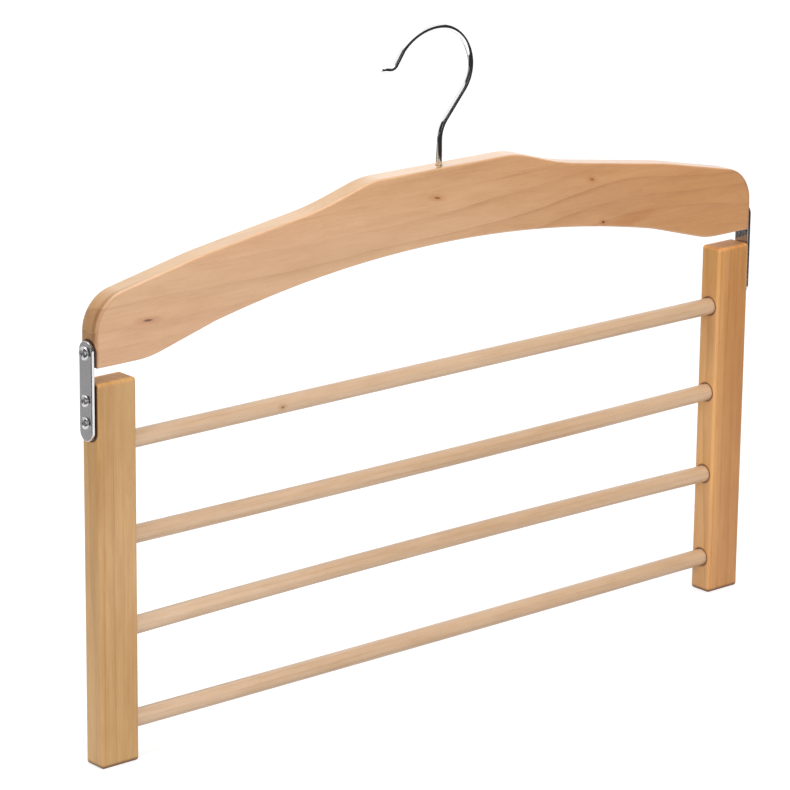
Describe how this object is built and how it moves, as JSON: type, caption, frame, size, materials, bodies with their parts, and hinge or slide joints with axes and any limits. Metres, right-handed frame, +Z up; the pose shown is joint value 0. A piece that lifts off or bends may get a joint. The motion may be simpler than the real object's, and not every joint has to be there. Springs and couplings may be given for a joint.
{
  "type": "multi tier trouser hanger",
  "caption": "Wooden trouser hanger: an arched beam on a swivelling wire hook, with a swinging ladder of round rods hung from its ends on steel straps.",
  "frame": {"origin": "where a round rail carries the hook: over the shank, at the height of the bend's inner side", "axes": "+X along the beam, away from the open side of the hook; +Y through the beam's thickness; +Z up along the hook's shank"},
  "size_m": [0.456, 0.014, 0.3493],
  "materials": {
    "beech": "satin lacquered pale beech",
    "beech_bar": "satin lacquered beech, a little more golden",
    "beech_rod": "sanded pale beech dowel",
    "chrome": "polished chrome plating",
    "plated_steel": "bright nickel plating"
  },
  "bodies": {
    "hook": {"hook": "chrome", "hook_washer": "plated_steel", "hook_nut": "plated_steel"},
    "beam": {"beam": "beech", "pivot_screw_left": "plated_steel", "pivot_screw_right": "plated_steel"},
    "ladder": {"upright_left": "beech_bar", "upright_right": "beech_bar", "rod_1": "beech_rod", "rod_2": "beech_rod", "rod_3": "beech_rod", "rod_4": "beech_rod", "strap_left": "plated_steel", "strap_right": "plated_steel", "strap_screw_left_upper": "plated_steel", "strap_screw_left_lower": "plated_steel", "strap_screw_right_upper": "plated_steel", "strap_screw_right_lower": "plated_steel"}
  },
  "joints": [
    {"name": "hook_swivel", "type": "hinge", "parent": "hook", "child": "beam", "pos_m": [0, 0, -0.07075], "axis": [0, 0, 1], "continuous": true},
    {"name": "frame_swing", "type": "hinge", "parent": "beam", "child": "ladder", "pos_m": [0, 0, -0.13115], "axis": [1, 0, 0], "range_deg": [-125, 125]}
  ]
}
